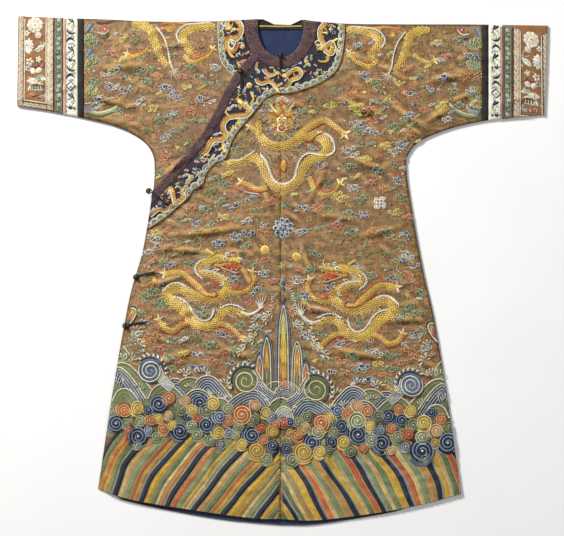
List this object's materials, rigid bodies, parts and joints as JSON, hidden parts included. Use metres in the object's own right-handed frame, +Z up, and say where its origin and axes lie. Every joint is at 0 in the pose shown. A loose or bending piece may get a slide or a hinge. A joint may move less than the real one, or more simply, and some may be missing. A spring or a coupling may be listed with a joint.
{
  "type": "chinese dragon robe",
  "caption": "Side-closing silk robe with flared skirt and straight wide sleeves, laid flat, embroidered with dragons, clouds and waves.",
  "frame": {"origin": "middle of the outline in plan, on the surface that the back lies on", "axes": "+X across to the wearer's left sleeve, +Y up towards the neck, +Z up out of the front of the robe"},
  "size_m": [1.4048, 1.3488, 0.0211],
  "materials": {
    "satin": "brown silk satin, embroidered in floss silk and gold thread",
    "navy_satin": "dark navy silk satin, embroidered",
    "brocade": "brown-purple patterned brocade",
    "black_silk": "black plain silk",
    "lining": "deep blue silk lining",
    "piping": "yellow silk piping",
    "floral_ribbon": "white woven ribbon with blue sprigs",
    "green_ribbon": "grey-green woven ribbon",
    "cuff_band": "cream-bordered tan band with figures",
    "brass": "gilt cast ball"
  },
  "bodies": {
    "root": {"band_black_left": "black_silk", "band_black_right": "black_silk", "band_floral_left": "floral_ribbon", "band_floral_right": "floral_ribbon", "band_green_left": "green_ribbon", "band_green_right": "green_ribbon", "band_wide_left": "cuff_band", "band_wide_right": "cuff_band", "binding_neck": "brocade", "binding_overlap": "brocade", "button_clavicle": "brass", "button_hip": "brass", "button_neck": "brass", "button_underarm": "brass", "button_waist": "brass", "facing_left": "navy_satin", "facing_main": "navy_satin", "frog_clavicle": "black_silk", "frog_hip": "black_silk", "frog_neck": "black_silk", "frog_underarm": "black_silk", "frog_waist": "black_silk", "half_left": "satin", "half_right": "satin", "lining_hem": "lining", "lining_neck": "lining", "loop_clavicle": "black_silk", "loop_hip": "black_silk", "loop_neck": "black_silk", "loop_underarm": "black_silk", "loop_waist": "black_silk", "neck_facing": "black_silk", "neck_piping": "piping", "overlap": "satin"}
  },
  "joints": []
}
